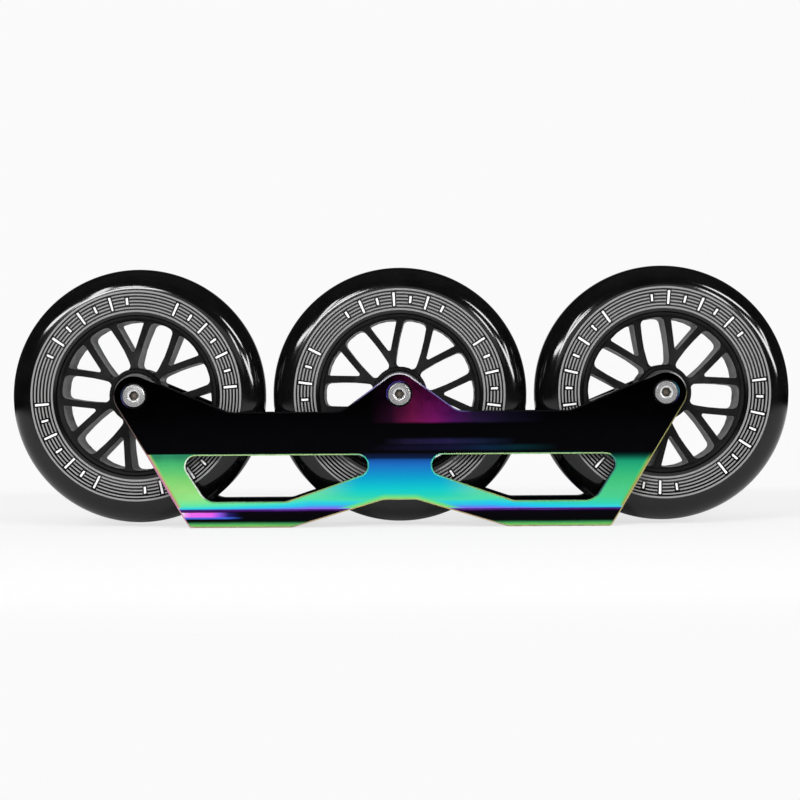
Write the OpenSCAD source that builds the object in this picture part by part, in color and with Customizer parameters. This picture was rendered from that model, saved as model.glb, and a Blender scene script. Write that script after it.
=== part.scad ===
// Three-wheel inline skate frame, standing on its boot face with the wheels up.
// X runs along the skate and the front is at +X. Y runs across it: the bolt heads are on the
// right, at -Y. Z runs from the boot face, at 0, towards the wheels. Sizes are in millimetres.

/* [Frame outline] */
// Distance between the front and rear axles
wheelbase = 255; // [252:1:280]
// Height of the axles above the boot face
axle_height = 63.5; // [63:0.5:72]
// Length of the boot face from end to end
boot_face_length = 201; // [190:1:212]
// Radius of the wall around each axle
boss_r = 10; // [8:0.5:11]
// Height of the walls' straight top edge
top_edge_height = 55.3; // [50:0.1:57]
// Length of the top edge between the corners where it rises to the end axles
top_edge_length = 164; // [150:1:176]
// Length along the top edge of the rise to the middle axle
middle_rise_length = 56; // [48:1:70]
// Radius of the hollow corners of the top edge
top_corner_r = 10; // [2:1:14]
// Length of the arch between the front and rear decks
arch_length = 103; // [96:1:110]
// Height of the arch above the boot face
arch_rise = 13.1; // [9:0.1:15]
// Length of the arch's flat crown
arch_crown_length = 16; // [14:1:30]
// Radius of the arch's corners
arch_corner_r = 9; // [2:1:14]

/* [Frame section] */
// Width across the walls at the axles
walls_w = 34.4; // [33:0.1:38]
// Width across the flanges beside the boot
flange_w = 42; // [39:0.5:48]
// Width of the boot face
boot_face_w = 39; // [34:0.5:39]
// Height of the bevel under each flange
flange_bevel_h = 2.9; // [1:0.1:4]
// Height of the flanges' upper edge
flange_h = 8.8; // [6:0.1:12]
// Radius that leads from the flange into the slope above it
flange_blend_r = 6; // [2:0.5:8]
// Height of the crease where the slope meets the upright wall
crease_h = 35.1; // [31:0.1:40]
// Width of the channel between the walls
channel_w = 27; // [26:0.1:29]
// Thickness of the decks under the boot
deck_t = 8; // [6:0.1:11]
// Length of the gap between the decks for the middle wheel
deck_gap_length = 92; // [80:1:96]
// Corner radius of the gap between the decks
deck_gap_corner_r = 6; // [2:0.5:10]

/* [Side windows] */
// Width of the bridge between the front and rear windows
bridge_w = 30.7; // [24:0.1:40]
// Height of the windows' lower edge
window_bottom = 12.4; // [10:0.1:18]
// Drop from the crease to the windows' upper edge
window_drop = 0.7; // [0.4:0.1:3]
// Height of a window at its inner end
window_inner_h = 8.7; // [8.5:0.1:14]
// Distance from the middle axle to the bend in a window's lower edge
window_bend_x = 54.5; // [44:0.1:70]
// Width of the strut at each end of the frame, along the windows' upper edge
strut_w = 14.4; // [9:0.1:22]
// Lean of a window's outer edge from the vertical
window_lean = 33.5; // [20:0.5:40]
// Radius of the windows' upper and inner corners
window_corner_r = 4.9; // [2:0.1:5]
// Radius of the windows' lower outer corner and of the bend
window_foot_r = 8.5; // [3:0.1:12]

/* [Boot bolts] */
// Distance between the two boot bolts
boot_bolt_spacing = 167; // [160:1:172]
// Width of a boot bolt slot
boot_slot_w = 8.5; // [6.5:0.1:9]
// Length of a boot bolt slot from end to end
boot_slot_l = 14; // [10:0.5:16]
// Width of the recess for the bolt's head and washer
boot_recess_w = 15.5; // [12:0.5:18]
// Depth of that recess
boot_recess_d = 3; // [1:0.1:4]

/* [Axle bolts] */
// Diameter of an axle
axle_d = 7.9; // [7.8:0.01:7.95]
// Clearance around an axle in the walls and the rings
axle_gap = 0.05; // [0.02:0.01:0.1]
// Diameter of a bolt's head
head_d = 10.9; // [10:0.1:12]
// Height of a bolt's head
head_h = 3; // [2.4:0.1:4]
// Depth to which the head sinks into the wall
head_sink = 2.2; // [1:0.1:2.4]
// Clearance around the head
head_gap = 0.25; // [0.1:0.05:0.5]
// Bevel around the head and at the axle's tip
bolt_bevel = 0.5; // [0.2:0.1:0.8]
// Width across the flats of the head's socket
socket_af = 4; // [3:0.5:5]
// Depth of the socket
socket_d = 2.2; // [1:0.1:2.3]
// Diameter of the bevel round the socket's mouth
socket_mouth_d = 5.6; // [5.2:0.1:7]
// Distance of the axle's tip inside the left wall
tip_inset = 0.5; // [0:0.1:1]

/* [Bearings] */
// Outer diameter of a bearing
bearing_d = 22; // [21.8:0.1:22.4]
// Width of a bearing
bearing_w = 7; // [6.8:0.1:7.4]
// Diameter of the circle through the balls' centres
ball_circle_d = 15; // [14.8:0.05:15.2]
// Diameter of a ball
ball_d = 3.97; // [3.6:0.01:4.1]
// Number of balls in a bearing
ball_count = 7; // [6:1:8]
// Clearance between a ball and its tracks
track_gap = 0.05; // [0.03:0.01:0.1]
// Outer diameter of the inner ring's shoulders
inner_ring_d = 12.1; // [11.8:0.1:12.6]
// Inner diameter of the outer ring's shoulders
outer_ring_bore_d = 18.9; // [18.4:0.1:19.2]
// Bevel on the rings' corners
ring_bevel = 0.3; // [0.1:0.05:0.4]
// Radial thickness of a ball cage
cage_t = 1.5; // [1:0.1:1.8]
// Thickness of the cage behind the balls
cage_back_t = 0.5; // [0.3:0.05:0.6]
// Height of the cage's fingers beyond the balls' centres
cage_finger_h = 1; // [0.5:0.1:1.4]
// Clearance of a ball in its pocket
pocket_gap = 0.1; // [0.05:0.01:0.15]
// Thickness of a shield
shield_t = 0.4; // [0.3:0.05:0.5]
// Depth of a shield below the ring's face
shield_inset = 0.15; // [0.1:0.05:0.25]
// Depth of the step in the outer ring that holds a shield
shield_step = 0.3; // [0.2:0.05:0.4]
// Clearance between a shield and the inner ring
shield_gap = 0.3; // [0.15:0.05:0.5]
// Length of the spacer between a wheel's two bearings
spacer_l = 10; // [9.6:0.1:10.2]
// Outer diameter of the spacer
spacer_d = 10.4; // [9.6:0.1:11.4]
// Clearance of the spacer around the axle
spacer_gap = 0.15; // [0.05:0.05:0.3]
// Diameter of the raised seats inside the walls, which touch the inner rings only
ring_seat_d = 11.6; // [10:0.1:11.8]

/* [Wheels] */
// Diameter of a wheel
wheel_d = 124; // [118:0.5:125]
// Width of a wheel
wheel_w = 24; // [22:0.5:24.5]
// Clearance between a wheel and the decks
wheel_gap = 2; // [1.2:0.1:3]
// Diameter of the bore of the tyre
tyre_bore_d = 77.6; // [76.6:0.1:84]
// Width of the tyre at its bore
tyre_lip_w = 20.6; // [20:0.1:21.5]
// Diameter at which the tyre's side turns into its tread
shoulder_d = 101; // [98:0.5:104]
// Width of the hub's rim
rim_w = 19.4; // [18.6:0.1:20]
// Inner diameter of the hub's rim
rim_bore_d = 73.4; // [70:0.1:74]
// Bevel on the rim's inner edge
rim_bevel = 0.7; // [0.3:0.1:1]
// Diameter of the rib that locks the tyre on the hub
tyre_rib_d = 90; // [86:0.5:94]
// Width of that rib
tyre_rib_w = 11; // [8:0.5:14]
// Outer diameter of the hub's boss
hub_boss_d = 26; // [25:0.1:27]
// Width of the hub's boss
hub_boss_w = 23.6; // [23:0.1:23.8]
// Bevel on the boss
hub_boss_bevel = 0.5; // [0.2:0.1:0.8]
// Clearance of a bearing in its seat in the hub
bearing_seat_gap = 0.02; // [0.01:0.01:0.05]
// Diameter of the hub's bore between the bearings
hub_bore_d = 19; // [15:0.5:20]
// Thickness of the spokes at the rim
spoke_rim_t = 17.6; // [15:0.1:18]
// Thickness of the spokes half way out
spoke_mid_t = 15; // [12:0.1:17]
// Diameter at which the spokes are thinnest
spoke_mid_d = 46; // [40:1:56]
// Thickness of the spokes at the boss
spoke_root_t = 18.6; // [14:0.1:20]
// Number of forked spokes
spoke_count = 7; // [6:1:8]
// Diameter from which the gaps between the spokes begin
gap_root_d = 26.8; // [26.4:0.1:29]
// Width of a spoke's stem at that diameter
stem_w = 2.4; // [2:0.1:4]
// Lean of a fork's curved outer edges from the stem, at that diameter
fork_root_lean = 16.7; // [14:0.1:18]
// Lean of those edges at the rim
fork_rim_lean = 31.5; // [28:0.1:32]
// Distance from the axle to the sharp inner end of the gap in a fork
fork_gap_x = 20.5; // [19:0.1:24]
// Angle of the gap in a fork
fork_gap_angle = 49; // [40:0.5:50]
// Corner radius of the gaps between the spokes
gap_corner_r = 2.4; // [0.6:0.1:2.6]
// Corner radius of the gaps in the forks
fork_corner_r = 0.8; // [0.4:0.1:1.2]
// Angle of a spoke of the rear wheel at rest
rear_spin = 43.7; // [0:0.1:60]
// Angle of a spoke of the middle wheel at rest
middle_spin = 0; // [0:0.1:60]
// Angle of a spoke of the front wheel at rest
front_spin = 21.5; // [0:0.1:60]

/* [Hidden] */
PLACES = ["rear", "middle", "front"];
SIDES = ["right", "left"];
WHEEL_PIECES = ["axle_bolt", "bearing_spacer", "hub", "tyre"];
BEARING_PIECES = ["inner_ring", "outer_ring", "balls", "ball_cage", "shields"];

$fn = 96;
// Smoothness of the corners of cut-outs, in points to a full turn
corner_fn = 16;
// Largest turn of an outline between two of its points
arc_step = 6;
// Overlap of a cutting shape beyond what it cuts
past = 1;
// Points from the tyre's shoulder to the crown of its tread
tread_steps = 12;
// Stretches of a fork's curved outer edge
fork_steps = 5;

end_x = wheelbase / 2;
axle_r = axle_d / 2;
axle_bore_r = axle_r + axle_gap;
frame_top = axle_height + boss_r + past;
// Distance of the bearings' outer faces from the middle plane
bearing_face_y = spacer_l / 2 + bearing_w;
bearing_mid_y = (spacer_l + bearing_w) / 2;
ball_r = ball_d / 2;
ball_circle_r = ball_circle_d / 2;
shield_seat_r = outer_ring_bore_d / 2 + shield_step;
wheel_r = wheel_d / 2;
rim_bore_r = rim_bore_d / 2;
spoke_pitch = 360 / spoke_count;

// Place of a wheel along the skate, counted from the rear
function place_index(place) = search([place], PLACES)[0];
function axle_x(place) = (place_index(place) - 1) * end_x;
function rest_spin(place) = [rear_spin, middle_spin, front_spin][place_index(place)];

function direction(angle) = [cos(angle), sin(angle)];
function turned(v, angle) = [
    v.x * cos(angle) - v.y * sin(angle),
    v.x * sin(angle) + v.y * cos(angle)
];
function unit(v) = v / norm(v);
function flipped(points) = [for (i = [len(points) - 1:-1:0]) [-points[i].x, points[i].y, points[i].z]];

// Slope of a line from a corner that grazes a circle of radius r, run across and rise above it
function grazing_slope(run, rise, r) = atan2(rise, run) + asin(r / norm([run, rise]));

// Corner where the tangents at two angles of a circle meet, with the circle's radius
function tangent_corner(centre, r, a, b) =
    let (apex = centre + r * (direction(a) + direction(b)) / (1 + cos(a - b)))
    [apex.x, apex.y, r];

// Points of the arc that rounds the corner at q, between p and s
function corner_arc(p, q, s, r) =
    let (a = unit(p - q))
    let (b = unit(s - q))
    let (half = acos(a * b) / 2)
    let (centre = q + unit(a + b) * r / sin(half))
    let (start = q + a * r / tan(half) - centre)
    let (turn = 180 - 2 * half)
    let (way = cross(a, b) > 0 ? -1 : 1)
    let (steps = ceil(turn / arc_step))
    [for (i = [0:steps]) centre + turned(start, way * turn * i / steps)];

// Outline through corners given as [x, y, radius]
function outline(corners) =
    let (n = len(corners))
    [for (i = [0:n - 1])
        let (p = corners[(i + n - 1) % n])
        let (q = corners[i])
        let (s = corners[(i + 1) % n])
        each q.z == 0 ? [[q.x, q.y]] : corner_arc([p.x, p.y], [q.x, q.y], [s.x, s.y], q.z)];

end_rise_slope = grazing_slope(end_x - top_edge_length / 2, axle_height - top_edge_height, boss_r);
middle_rise_slope = grazing_slope(middle_rise_length / 2, axle_height - top_edge_height, boss_r);
end_lean = grazing_slope(axle_height, end_x - boot_face_length / 2, boss_r);

// Side view of the frame's front half, from the top edge round to the arch
side_half = [
    [middle_rise_length / 2, top_edge_height, top_corner_r],
    [top_edge_length / 2, top_edge_height, top_corner_r],
    tangent_corner([end_x, axle_height], boss_r, 90 + end_rise_slope, -end_lean),
    [boot_face_length / 2, 0, 0],
    [arch_length / 2, 0, arch_corner_r],
    [arch_crown_length / 2, arch_rise, arch_corner_r]
];
side_corners = concat(
    [tangent_corner([0, axle_height], boss_r, 90 - middle_rise_slope, 90 + middle_rise_slope)],
    side_half,
    flipped(side_half)
);

// Side view of the front window
window_top = crease_h - window_drop;
window_top_x = boot_face_length / 2 + window_top * tan(end_lean) - strut_w;
window_corners = [
    [bridge_w / 2, window_top, window_corner_r],
    [window_top_x, window_top, window_corner_r],
    [window_top_x - (window_top - window_bottom) * tan(window_lean), window_bottom, window_foot_r],
    [window_bend_x, window_bottom, window_foot_r],
    [bridge_w / 2, window_top - window_inner_h, window_corner_r]
];

// Section across the frame, from the boot face up the left wall and down into the channel
section_half = [
    [boot_face_w / 2, 0, 0],
    [flange_w / 2, flange_bevel_h, 0],
    [flange_w / 2, flange_h, flange_blend_r],
    [walls_w / 2, crease_h, 0],
    [walls_w / 2, frame_top, 0],
    [channel_w / 2, frame_top, 0],
    [channel_w / 2, deck_t, 0]
];
section_corners = concat(section_half, flipped(section_half));

// Puts what is drawn about the Z axis on an axle, with its top towards the bolt's head
module on_axle(place) {
    translate([axle_x(place), 0, axle_height]) rotate([90, 0, 0]) children();
}

// Puts a bearing's piece on the right or the left of a wheel, with its top facing outwards
module in_bearing(place, side) {
    on_axle(place)
        rotate([side == "right" ? 0 : 180, 0, 0])
            translate([0, 0, bearing_mid_y])
                children();
}

// Prism of a side view, right across the frame
module across_frame(corners) {
    rotate([90, 0, 0])
        linear_extrude(height = flange_w + 2 * past, center = true)
            polygon(outline(corners));
}

// Slot along X, upwards from a given height
module slot(length, width, from, height) {
    reach = (length - width) / 2;
    translate([0, 0, from]) {
        for (end = [-reach, reach])
            translate([end, 0, 0]) cylinder(d = width, h = height);
        translate([-reach, -width / 2, 0]) cube([2 * reach, width, height]);
    }
}

module walls_and_decks() {
    intersection() {
        across_frame(side_corners);
        rotate([90, 0, 90])
            linear_extrude(height = wheelbase + 4 * boss_r, center = true)
                polygon(outline(section_corners));
    }
}

// Raised seats inside both walls, which clamp a wheel's inner rings
module ring_seats(place) {
    seat_h = channel_w / 2 - bearing_face_y + past;
    for (side = [0, 180])
        on_axle(place)
            rotate([side, 0, 0])
                translate([0, 0, bearing_face_y])
                    cylinder(d = ring_seat_d, h = seat_h);
}

// Bore for an axle through both walls, with the sinking for its head in the right wall
module axle_bore(place) {
    on_axle(place) {
        cylinder(r = axle_bore_r, h = walls_w + 2 * past, center = true);
        translate([0, 0, walls_w / 2 - head_sink])
            cylinder(r = head_d / 2 + head_gap, h = head_sink + past);
    }
}

// Room for the middle wheel between the decks
module deck_gap() {
    corners = [
        for (end = [[-1, -1], [1, -1], [1, 1], [-1, 1]])
            [end.x * deck_gap_length / 2, end.y * channel_w / 2, deck_gap_corner_r]
    ];
    translate([0, 0, -past])
        linear_extrude(height = deck_t + 2 * past)
            polygon(outline(corners));
}

// Slot for a boot bolt, with a recess for its head on the wheels' side
module boot_slot() {
    slot(boot_slot_l, boot_slot_w, -past, deck_t + 2 * past);
    slot(boot_slot_l + boot_recess_w - boot_slot_w, boot_recess_w, deck_t - boot_recess_d, boot_recess_d + past);
}

// Hollow in the end of a deck for a wheel, as a ring that leaves the seats by the axle
module wheel_room(place) {
    on_axle(place)
        difference() {
            cylinder(r = wheel_r + wheel_gap, h = channel_w, center = true);
            cylinder(d = ring_seat_d + 2 * past, h = channel_w + 2 * past, center = true);
        }
}

module frame_body() {
    color("indigo")
        difference() {
            union() {
                walls_and_decks();
                for (place = PLACES) ring_seats(place);
            }
            across_frame(window_corners);
            across_frame(flipped(window_corners));
            deck_gap();
            for (end = [-1, 1])
                translate([end * boot_bolt_spacing / 2, 0, 0]) boot_slot();
            for (place = ["rear", "front"]) wheel_room(place);
            for (place = PLACES) axle_bore(place);
        }
}

module axle_bolt(place) {
    seat_z = walls_w / 2 - head_sink;
    face_z = seat_z + head_h;
    tip_z = tip_inset - walls_w / 2;
    head_r = head_d / 2;
    socket_r = socket_af / 2 / cos(30);
    mouth_r = socket_mouth_d / 2;
    color("silver")
        on_axle(place)
            difference() {
                rotate_extrude()
                    polygon([
                        [0, tip_z],
                        [axle_r - bolt_bevel, tip_z],
                        [axle_r, tip_z + bolt_bevel],
                        [axle_r, seat_z],
                        [head_r, seat_z],
                        [head_r, face_z - bolt_bevel],
                        [head_r - bolt_bevel, face_z],
                        [0, face_z]
                    ]);
                translate([0, 0, face_z - socket_d])
                    cylinder(r = socket_r, h = socket_d + past, $fn = 6);
                translate([0, 0, face_z - (mouth_r - socket_af / 2)])
                    cylinder(r1 = socket_af / 2, r2 = mouth_r, h = mouth_r - socket_af / 2);
            }
}

module bearing_spacer(place) {
    color("silver")
        on_axle(place)
            difference() {
                cylinder(d = spacer_d, h = spacer_l, center = true);
                cylinder(r = axle_r + spacer_gap, h = spacer_l + 2 * past, center = true);
            }
}

// Ring of a bearing with bevelled corners
module bearing_ring(inner_r, outer_r) {
    half_w = bearing_w / 2;
    rotate_extrude()
        polygon([
            [inner_r, ring_bevel - half_w],
            [inner_r + ring_bevel, -half_w],
            [outer_r - ring_bevel, -half_w],
            [outer_r, ring_bevel - half_w],
            [outer_r, half_w - ring_bevel],
            [outer_r - ring_bevel, half_w],
            [inner_r + ring_bevel, half_w],
            [inner_r, half_w - ring_bevel]
        ]);
}

// Space that the balls sweep, with their clearance
module ball_track() {
    rotate_extrude()
        translate([ball_circle_r, 0]) circle(r = ball_r + track_gap);
}

module inner_ring(place, side) {
    color("gainsboro")
        in_bearing(place, side)
            difference() {
                bearing_ring(axle_bore_r, inner_ring_d / 2);
                ball_track();
            }
}

module outer_ring(place, side) {
    step_d = shield_inset + shield_t;
    color("gainsboro")
        in_bearing(place, side)
            difference() {
                bearing_ring(outer_ring_bore_d / 2, bearing_d / 2);
                ball_track();
                for (face = [-1, 1])
                    translate([0, 0, face * (bearing_w + past - step_d) / 2])
                        cylinder(r = shield_seat_r, h = step_d + past, center = true);
            }
}

module at_balls() {
    for (i = [0:ball_count - 1])
        rotate([0, 0, i * 360 / ball_count])
            translate([ball_circle_r, 0, 0])
                children();
}

module balls(place, side) {
    color("white")
        in_bearing(place, side)
            at_balls() sphere(r = ball_r);
}

// Crown cage: a ring behind the balls, with fingers between them
module ball_cage(place, side) {
    pocket_r = ball_r + pocket_gap;
    back_z = -pocket_r - cage_back_t;
    color("dimgray")
        in_bearing(place, side)
            difference() {
                rotate_extrude()
                    translate([ball_circle_r - cage_t / 2, back_z])
                        square([cage_t, cage_finger_h - back_z]);
                at_balls() sphere(r = pocket_r);
            }
}

module shields(place, side) {
    inner_r = inner_ring_d / 2 + shield_gap;
    color("black")
        in_bearing(place, side)
            for (face = [0, 180])
                rotate([face, 0, 0])
                    translate([0, 0, bearing_w / 2 - shield_inset - shield_t])
                        difference() {
                            cylinder(r = shield_seat_r - bearing_seat_gap, h = shield_t);
                            translate([0, 0, -past]) cylinder(r = inner_r, h = shield_t + 2 * past);
                        }
}

// Half of the hub's section, from the bearing seat over the boss, spokes and rim to the rib
hub_half = [
    [hub_bore_d / 2, spacer_l / 2],
    [bearing_d / 2 + bearing_seat_gap, spacer_l / 2],
    [bearing_d / 2 + bearing_seat_gap, hub_boss_w / 2],
    [hub_boss_d / 2 - hub_boss_bevel, hub_boss_w / 2],
    [hub_boss_d / 2, hub_boss_w / 2 - hub_boss_bevel],
    [hub_boss_d / 2, spoke_root_t / 2],
    [spoke_mid_d / 2, spoke_mid_t / 2],
    [rim_bore_r, spoke_rim_t / 2],
    [rim_bore_r + rim_bevel, rim_w / 2],
    [tyre_bore_d / 2, rim_w / 2],
    [tyre_bore_d / 2, tyre_rib_w / 2],
    [tyre_rib_d / 2, tyre_rib_w / 2]
];
hub_section = concat(hub_half, [for (i = [len(hub_half) - 1:-1:0]) [hub_half[i].x, -hub_half[i].y]]);

// Outer edge of a fork at a distance beyond the gap's root, turned to the middle of the gap beside it
fork_reach = rim_bore_r - gap_root_d / 2;
fork_bend = (tan(fork_rim_lean) - tan(fork_root_lean)) / (2 * fork_reach);
function fork_edge(out) =
    let (y = stem_w / 2 + out * tan(fork_root_lean) + out * out * fork_bend)
    turned([gap_root_d / 2 + out, y], -spoke_pitch / 2);

// Rounds the corners of a flat cut-out
module softened(r) {
    offset(r = r, $fn = corner_fn) offset(delta = -r) children();
}

module spoke_gap() {
    edge = [for (i = [0:fork_steps]) fork_edge((fork_reach + 2 * past) * i / fork_steps - past)];
    other_edge = [for (i = [fork_steps:-1:0]) [edge[i].x, -edge[i].y]];
    softened(gap_corner_r)
        difference() {
            intersection() {
                polygon(concat(edge, other_edge));
                circle(r = rim_bore_r);
            }
            circle(d = gap_root_d);
        }
}

module fork_gap() {
    reach = rim_bore_r + past - fork_gap_x;
    half = reach * tan(fork_gap_angle / 2);
    softened(fork_corner_r)
        intersection() {
            polygon([[fork_gap_x, 0], [fork_gap_x + reach, -half], [fork_gap_x + reach, half]]);
            circle(r = rim_bore_r);
        }
}

module hub(place) {
    color("dimgray")
        on_axle(place)
            rotate([0, 0, rest_spin(place)])
                difference() {
                    rotate_extrude() polygon(hub_section);
                    for (i = [0:spoke_count - 1])
                        rotate([0, 0, i * spoke_pitch])
                            linear_extrude(height = wheel_w, center = true) {
                                fork_gap();
                                rotate(spoke_pitch / 2) spoke_gap();
                            }
                }
}

// Half of the tyre's section, from the rib's groove over the lip and side to the tread's crown
tyre_half = concat(
    [
        [tyre_rib_d / 2, tyre_rib_w / 2],
        [tyre_bore_d / 2, tyre_rib_w / 2],
        [tyre_bore_d / 2, tyre_lip_w / 2]
    ],
    [for (i = [0:tread_steps])
        let (angle = 90 * i / tread_steps)
        [(shoulder_d + (wheel_d - shoulder_d) * sin(angle)) / 2, wheel_w / 2 * cos(angle)]]
);
tyre_section = concat(tyre_half, [for (i = [len(tyre_half) - 2:-1:0]) [tyre_half[i].x, -tyre_half[i].y]]);

module tyre(place) {
    color("black")
        on_axle(place)
            rotate_extrude() polygon(tyre_section);
}

frame_body();
for (place = PLACES) {
    axle_bolt(place);
    bearing_spacer(place);
    hub(place);
    tyre(place);
    for (side = SIDES) {
        inner_ring(place, side);
        outer_ring(place, side);
        balls(place, side);
        ball_cage(place, side);
        shields(place, side);
    }
}
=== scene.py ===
"""Inline skate frame with three wheels, standing on its boot face with the wheels up.

Lengths are in millimetres where a name ends in _mm, and in metres elsewhere. Angles are in degrees.
"""
import logging
import math
from dataclasses import dataclass, field
from enum import Enum, IntEnum
from typing import Mapping, Optional, Sequence, Union

import bpy
from mathutils import Matrix, Vector


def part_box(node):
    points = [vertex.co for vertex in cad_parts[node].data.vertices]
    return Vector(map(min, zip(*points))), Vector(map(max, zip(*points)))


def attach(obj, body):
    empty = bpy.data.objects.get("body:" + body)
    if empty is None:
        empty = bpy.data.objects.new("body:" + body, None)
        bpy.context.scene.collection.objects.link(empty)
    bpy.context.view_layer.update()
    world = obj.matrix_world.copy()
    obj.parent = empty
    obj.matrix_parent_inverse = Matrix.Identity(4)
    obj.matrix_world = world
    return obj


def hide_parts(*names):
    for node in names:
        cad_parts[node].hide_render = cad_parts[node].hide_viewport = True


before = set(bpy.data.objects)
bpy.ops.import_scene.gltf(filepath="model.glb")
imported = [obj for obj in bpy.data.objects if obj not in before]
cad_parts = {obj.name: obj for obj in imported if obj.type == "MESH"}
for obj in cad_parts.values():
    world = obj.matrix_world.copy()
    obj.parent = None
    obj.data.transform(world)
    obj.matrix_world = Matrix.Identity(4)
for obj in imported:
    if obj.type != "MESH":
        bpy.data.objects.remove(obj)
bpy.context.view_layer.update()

LOG = logging.getLogger("skate_frame")
MM = 0.001

Colour = tuple[float, float, float, float]
Span = tuple[float, float]
Stops = Sequence[tuple[float, Colour]]
Levels = Sequence[tuple[float, int]]
Inputs = Mapping[Union[str, int], object]
Socket = bpy.types.NodeSocket
Value = Union[float, Socket]
Paint = Union[Colour, Socket]


class Place(Enum):
    """Place of a wheel along the skate."""

    REAR = "rear"
    MIDDLE = "middle"
    FRONT = "front"

    def name_of(self, piece: str) -> str:
        """Name of a piece, CAD node or body at this place."""
        return f"{self.value}_{piece}"

    def axle(self) -> Vector:
        """Middle of the wheel at this place."""
        low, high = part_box(self.name_of("tyre"))
        return (Vector(low) + Vector(high)) / 2


class Side(Enum):
    """Side of a wheel: the bolt heads are on the right."""

    RIGHT = "right"
    LEFT = "left"


class Slot(Enum):
    """Material slots of the record, one for each kind of new piece."""

    FRAME = "frame_alloy"
    BOLT = "bolt_steel"
    CORE = "core_nylon"
    TYRE = "tyre_urethane"


class FrameFace(IntEnum):
    """Kinds of faces on the frame's mesh, as its material slots."""

    OUTER = 0
    CHAMFER = 1
    REVEAL = 2


class Rays(Enum):
    """What a lamp gives: a sharp streak in what is glossy, or soft light."""

    MIRRORED = "mirrored"
    SOFT = "soft"


class Blend(Enum):
    """Ways to lay a colour over another, with Blender's names."""

    MIX = "MIX"
    MULTIPLY = "MULTIPLY"
    ADD = "ADD"


class Axis(Enum):
    """What the colours of the oxide film are placed by."""

    X = "along the skate, to the front"
    Z = "up from the boot face"
    ALONG = "from the middle wheel, to either end"
    ACROSS = "from the middle plane, to either wall"
    SLANT = "up and to the rear"
    TABLE = "up the slopes, at the rate that the colours change there"
    ARCH = "from the edge of the arch"
    END = "from the leaning edge at either end"
    AXLE = "from the nearest axle"
    WAVE = "a slow wave along the skate"


Fade = tuple[Axis, float, float]

AXLE_PITCH_MM = round(Place.FRONT.axle().x / MM, 3)
AXLE_HEIGHT_MM = round(Place.FRONT.axle().z / MM, 3)
CREASE_MM = 35.1
FRONT_HALF: Fade = (Axis.X, -1.0, 1.0)


def srgb(red: int, green: int, blue: int) -> Colour:
    """Turns a colour as seen on a screen into the linear colour that the shaders use.

    Args:
        red: Red from 0 to 255.
        green: Green from 0 to 255.
        blue: Blue from 0 to 255.

    Returns:
        The linear colour, with full alpha.
    """
    def linear(level: int) -> float:
        """One channel, by the screen's own curve."""
        share = level / 255
        return share / 12.92 if share <= 0.04045 else ((share + 0.055) / 1.055) ** 2.4

    return linear(red), linear(green), linear(blue), 1.0


def grey(level: int) -> Colour:
    """A neutral colour of the given level on a screen, from 0 to 255."""
    return srgb(level, level, level)


def grey_stops(levels: Levels, off: int = 0) -> Stops:
    """Stops of a ramp of neutral colours, each moved by an offset of its level."""
    return [(at, grey(level + off)) for at, level in levels]


def flat(level: float) -> Colour:
    """A neutral colour of the given linear level."""
    return level, level, level, 1.0


def between(axis: Axis, low: float, high: float, soft: float) -> tuple[Fade, Fade]:
    """Fades that leave what lies between two values, with soft edges outside them."""
    return (axis, low - soft, low), (axis, high + soft, high)


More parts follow.
